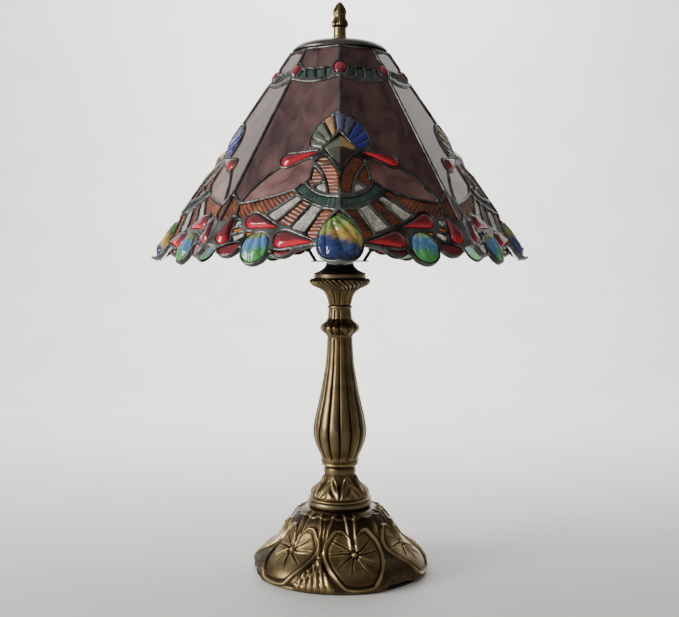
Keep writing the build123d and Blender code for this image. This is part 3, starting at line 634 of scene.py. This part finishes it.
def pad_relief(x, y):
    """One heart-shaped lily pad around its flower, with a beaded edge."""
    reach, angle = np.hypot(x, y), np.arctan2(x, -y)
    off = reach - np.interp(np.abs(np.degrees(angle)), PAD_OUTLINE[:, 0], PAD_OUTLINE[:, 1])
    inside = 1 / (1 + np.exp(off / 0.7))
    height = -0.9 + inside * (1.0 + 0.5 * np.sin(reach / 9))
    height = height + 2.3 * ridge(off, 1.5) - 0.9 * ridge(off + 3.3, 1.3)
    for vein in VEINS:
        along = x * np.sin(vein) - y * np.cos(vein)
        beside = x * np.cos(vein) + y * np.sin(vein) + 0.8 * np.sin(along / 6)
        reaches = np.clip((27 - along) / 9, 0, 1) * (along > 3) * inside
        height = height + reaches * (0.8 * ridge(np.abs(beside) - 1.6, 0.7) - 1.3 * ridge(beside, 0.9))
    hatch = np.sin(y * 2.6 + x * 0.6) * ridge(x + 15, 8) * inside
    height = height + 0.22 * hatch + 2.6 * ridge(reach, 2.4) - 1.8 * ridge(reach - 4.2, 1.2)
    return height, inside


def tassel_relief(x, run):
    """A bud that hangs above a fringe of rounded fingers."""
    fan = np.clip((31 - run) / 26, 0, 1)
    fringe = (np.abs(x) < 3 + 19 * fan) * (run < 31)
    fingers = np.abs(np.sin(np.pi * x / (2.4 + 4.2 * fan)))
    height = fringe * (2.9 * fingers**0.6 - 0.3 + 0.6 * np.sin(run / 2.7 + x))
    height = height * np.sqrt(np.clip(run / 5, 0, 1))
    height = height + 3.4 * np.exp(-((x / 3.1) ** 2 + ((run - 34) / 4.2) ** 2))
    stems = ridge(x - 1.2 - (run - 38) * 0.12, 1.3) + ridge(x + 1.2 + (run - 38) * 0.12, 1.3)
    height = height + (run > 38) * 1.9 * stems
    buds = np.exp(-((x / 4.5) ** 2 + ((run - 68) / 6) ** 2)) * (0.6 + 0.4 * np.cos(x * 1.8))
    return height + 2.6 * buds


def foot_relief(azimuth, run, radius):
    """A lily pad and its stems at every step, with a tassel or a small net by turns between the pads."""
    turn = (azimuth - FIRST_PAD + PAD_STEP / 2) % PAD_STEP - PAD_STEP / 2
    x = turn * radius
    height, inside = pad_relief(x, run - PAD_CENTRE)
    stem = (run > PAD_CENTRE + 3) * (1.7 + 0.4 * np.sin(run / 7))
    spread = 2.6 + 0.05 * (run - PAD_CENTRE)
    height = height + stem * (ridge(x - spread, 1.3) + ridge(x + spread, 1.3))
    gap, tasselled = gap_between_pads(azimuth)
    gap = gap * radius
    height = height + tasselled * (1 - inside) * tassel_relief(gap, run)
    net = np.abs(np.sin(gap * 0.8 + run * 0.6) * np.sin(gap * 0.8 - run * 0.6))
    height = height + ~tasselled * (1 - inside) * (run < 32) * 0.9 * net
    height = height + ~tasselled * (1 - inside) * 2.0 * np.exp(-((gap / 3.0) ** 2 + ((run - 66) / 7) ** 2))
    petals = np.abs(np.cos(azimuth * 9))
    height = height + 1.1 * ridge(run - 84 + 3 * petals, 1.2)
    return height * np.clip((92 - run) / 6, 0.05, 1) * np.clip(run / 3, 0.2, 1)


RIM_DRAWN_IN, RIM_LIFT = 0.004, 0.0025  # metres


def wavy_rim(azimuth, ring_r, ring_z):
    """Between the pads that have no tassel the rim draws in and lifts off the table."""
    gap, tasselled = gap_between_pads(azimuth)
    dip = np.clip((16 - np.abs(np.degrees(gap))) / 9, 0, 1)
    dip = np.where(tasselled, 0, dip * dip * (3 - 2 * dip))
    low = np.clip((0.026 - ring_z) / 0.0245, 0, 1) * np.clip((ring_r - 0.05) / 0.03, 0, 1)
    return ring_r - RIM_DRAWN_IN * dip * low, ring_z + RIM_LIFT * dip * low


FLUTES, FLUTE_DEPTH = 14, 2.6


def flute_relief(deep):
    """Rounded flutes with narrow grooves between them, deeper at larger radii, that fade at both ends."""
    def relief(azimuth, run, radius):
        edge = np.abs(2 * ((azimuth * FLUTES / (2 * np.pi)) % 1) - 1)
        ends = np.clip(run / 5, 0, 1) * np.clip((run.max() - run) / 3, 0, 1)
        return 0.3 - deep * radius / 24 * (0.35 * edge**2 + 0.65 * edge**10) * ends
    return relief


def bell_relief(azimuth, run, radius):
    """A ring of seven leaves over the lip, and a moulding at the top."""
    leaf = np.abs(2 * ((azimuth * 7 / (2 * np.pi)) % 1) - 1)
    width = np.sqrt(np.clip(1 - (run / 31) ** 2, 0, 1))
    off = leaf - width * 0.9
    leaves = np.where(off < 0, 0.7 + 0.5 * np.cos(leaf * 9 + run * 0.5), -0.6)
    leaves = leaves + 1.0 * ridge(off, 0.08) * (run < 32)
    rings = 1.3 * ridge(run - run.max() + 4, 1.3) - 0.9 * ridge(run - run.max() + 7.5, 1.5)
    lip = 1.0 * ridge(run - 1.5, 1.0) - 0.8 * ridge(run - 4, 1.0)
    return leaves * np.clip((run - 4) / 3, 0, 1) * (run < 33) + rings + lip


def crown_relief(azimuth, run, radius):
    """Fourteen leaves below and fine slanting ribs above."""
    share = run / run.max()
    leaf = np.abs(2 * ((azimuth * 14 / (2 * np.pi)) % 1) - 1)
    lower = 0.9 - 1.5 * leaf**3 - 0.8 * ridge(leaf, 0.12)
    upper = 0.8 * np.sin(azimuth * 34 + run * 0.7)
    mix = np.clip((share - 0.42) / 0.1, 0, 1)
    ends = np.clip(run / 3, 0, 1) * np.clip((run.max() - run) / 2, 0, 1)
    return (lower * (1 - mix) + upper * mix) * ends - 0.3


# Radius and height above the foot of the finial, in millimetres, up from its lower edge.
FINIAL_PROFILE = np.array([
    (7.2, 0), (7.3, 2.0), (6.8, 2.9), (6.8, 12.2), (8.4, 12.9), (9.7, 14.0), (9.9, 15.9), (8.9, 18.6),
    (7.6, 20.8), (6.7, 23.0), (6.6, 24.6), (7.1, 26.6), (7.6, 28.9), (7.3, 30.5), (6.4, 32.7), (4.7, 35.8),
    (3.0, 38.0), (1.5, 39.4), (0.02, 40.0),
])


def finial_relief(azimuth, run, radius):
    """Two rows of upright leaves: the lower row curls out, the upper row closes to a bud."""
    lower = np.abs(np.cos(azimuth * 3)) ** 0.7
    upper = np.abs(np.cos(azimuth * 2.5 + 0.4)) ** 0.8
    spine = 0.5 * ridge(np.abs(np.sin(azimuth * 3)), 0.18)
    crown = ridge(run - 19, 5.5)
    bud = ridge(run - 35, 6.5)
    return -1.6 * (1 - lower) * crown + spine * crown - 1.3 * (1 - upper) * bud * np.clip(radius / 5, 0, 1)


# Steps up the profile and around it, then the relief and the inside. Radii and heights are in metres here.
# The CAD's vase and knop are twelve-sided, so their outside is taken close by one of their corners.
ROD_HOLE, STEM_BORE, BY_A_CORNER = 0.0052, 0.0095, 0.004
foot_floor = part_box("base_foot")[0][2]
foot_inside = [
    (ROD_HOLE, 0.068), (ROD_HOLE, 0.063), (0.035, 0.063), (0.044, 0.059), (0.0545, 0.041), (0.0625, 0.030),
    (0.073, 0.022), (0.0825, 0.0145), (0.0885, 0.007), (0.0885, foot_floor),
]
casting("foot_casting", "base_foot", 180, 480, foot_relief, foot_inside,
        sample_azimuth=FIRST_PAD, warp=wavy_rim)
casting("bell_casting", "stem_bell", 90, 360, bell_relief, STEM_BORE)
casting("column_casting", "column_vase", 120, 480, flute_relief(FLUTE_DEPTH), STEM_BORE,
        sample_azimuth=BY_A_CORNER)
casting("knop_casting", "column_knop", 80, 360, flute_relief(FLUTE_DEPTH), STEM_BORE,
        sample_azimuth=BY_A_CORNER)
casting("crown_casting", "crown_cup", 90, 400, crown_relief, ROD_HOLE)
finial_low, finial_high = (corner[2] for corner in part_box("finial"))
finial_heights = finial_low + FINIAL_PROFILE[:, 1] / FINIAL_PROFILE[-1, 1] * (finial_high - finial_low)
insert_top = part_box("finial_insert")[1][2]
finial_inside = [(FINIAL_PROFILE[-1, 0] * MM, insert_top + 0.001), (0.0044, insert_top), (0.0044, finial_low)]
casting("finial_casting", "finial", 110, 240, finial_relief, finial_inside, finish="finial_brass",
        profile=(FINIAL_PROFILE[:, 0] * MM, finial_heights))

# ------------------------------------------------------------------ CAD pieces that stay
# Finishes of the nodes that don't take the finish named like their material slot.
OWN_FINISH = {
    "main_glass": "mauve_glass",
    "top_glass": "mauve_glass",
    "wing_glass": "wing_glass",
    "vase_cap": "cap_bronze",
    "collar_ring": "bronze",
    "neck_ring": "bronze",
    "crown_band": "bronze",
    "finial_insert": "plain_brass",
    "cap_washer": "plain_brass",
    "harp_seat": "plain_brass",
}
for node, slot in SLOTS.items():
    finish = MATERIALS.get(OWN_FINISH.get(node, slot), MATERIALS["bronze"])
    for mesh_slot in nodes[node].material_slots:
        mesh_slot.material = finish

# ------------------------------------------------------------------ floor and backdrop
# A wide floor that bends up into the backdrop, in metres.
FLOOR_HALF, FLOOR_FRONT, BEND_START, BEND_RADIUS, BEND_STEPS, WALL_TOP = 12.0, -12.0, 1.3, 0.9, 12, 4.0
profile = [(FLOOR_FRONT, 0.0), (BEND_START, 0.0)]
for step in range(1, BEND_STEPS + 1):
    turn = step / BEND_STEPS * math.pi / 2
    profile.append((BEND_START + BEND_RADIUS * math.sin(turn), BEND_RADIUS * (1 - math.cos(turn))))
profile.append((BEND_START + BEND_RADIUS, WALL_TOP))
floor_mesh = bpy.data.meshes.new("floor")
floor_points = [(x, y, z) for y, z in profile for x in (-FLOOR_HALF, FLOOR_HALF)]
floor_faces = [(2 * i, 2 * i + 1, 2 * i + 3, 2 * i + 2) for i in range(len(profile) - 1)]
floor_mesh.from_pydata(floor_points, [], floor_faces)
smooth(floor_mesh)
floor = new_object("floor", floor_mesh)
floor_mesh.materials.append(material("floor", (0.72, 0.71, 0.69), (0.77, 0.76, 0.74), 6, rough=(0.5, 0.6)))
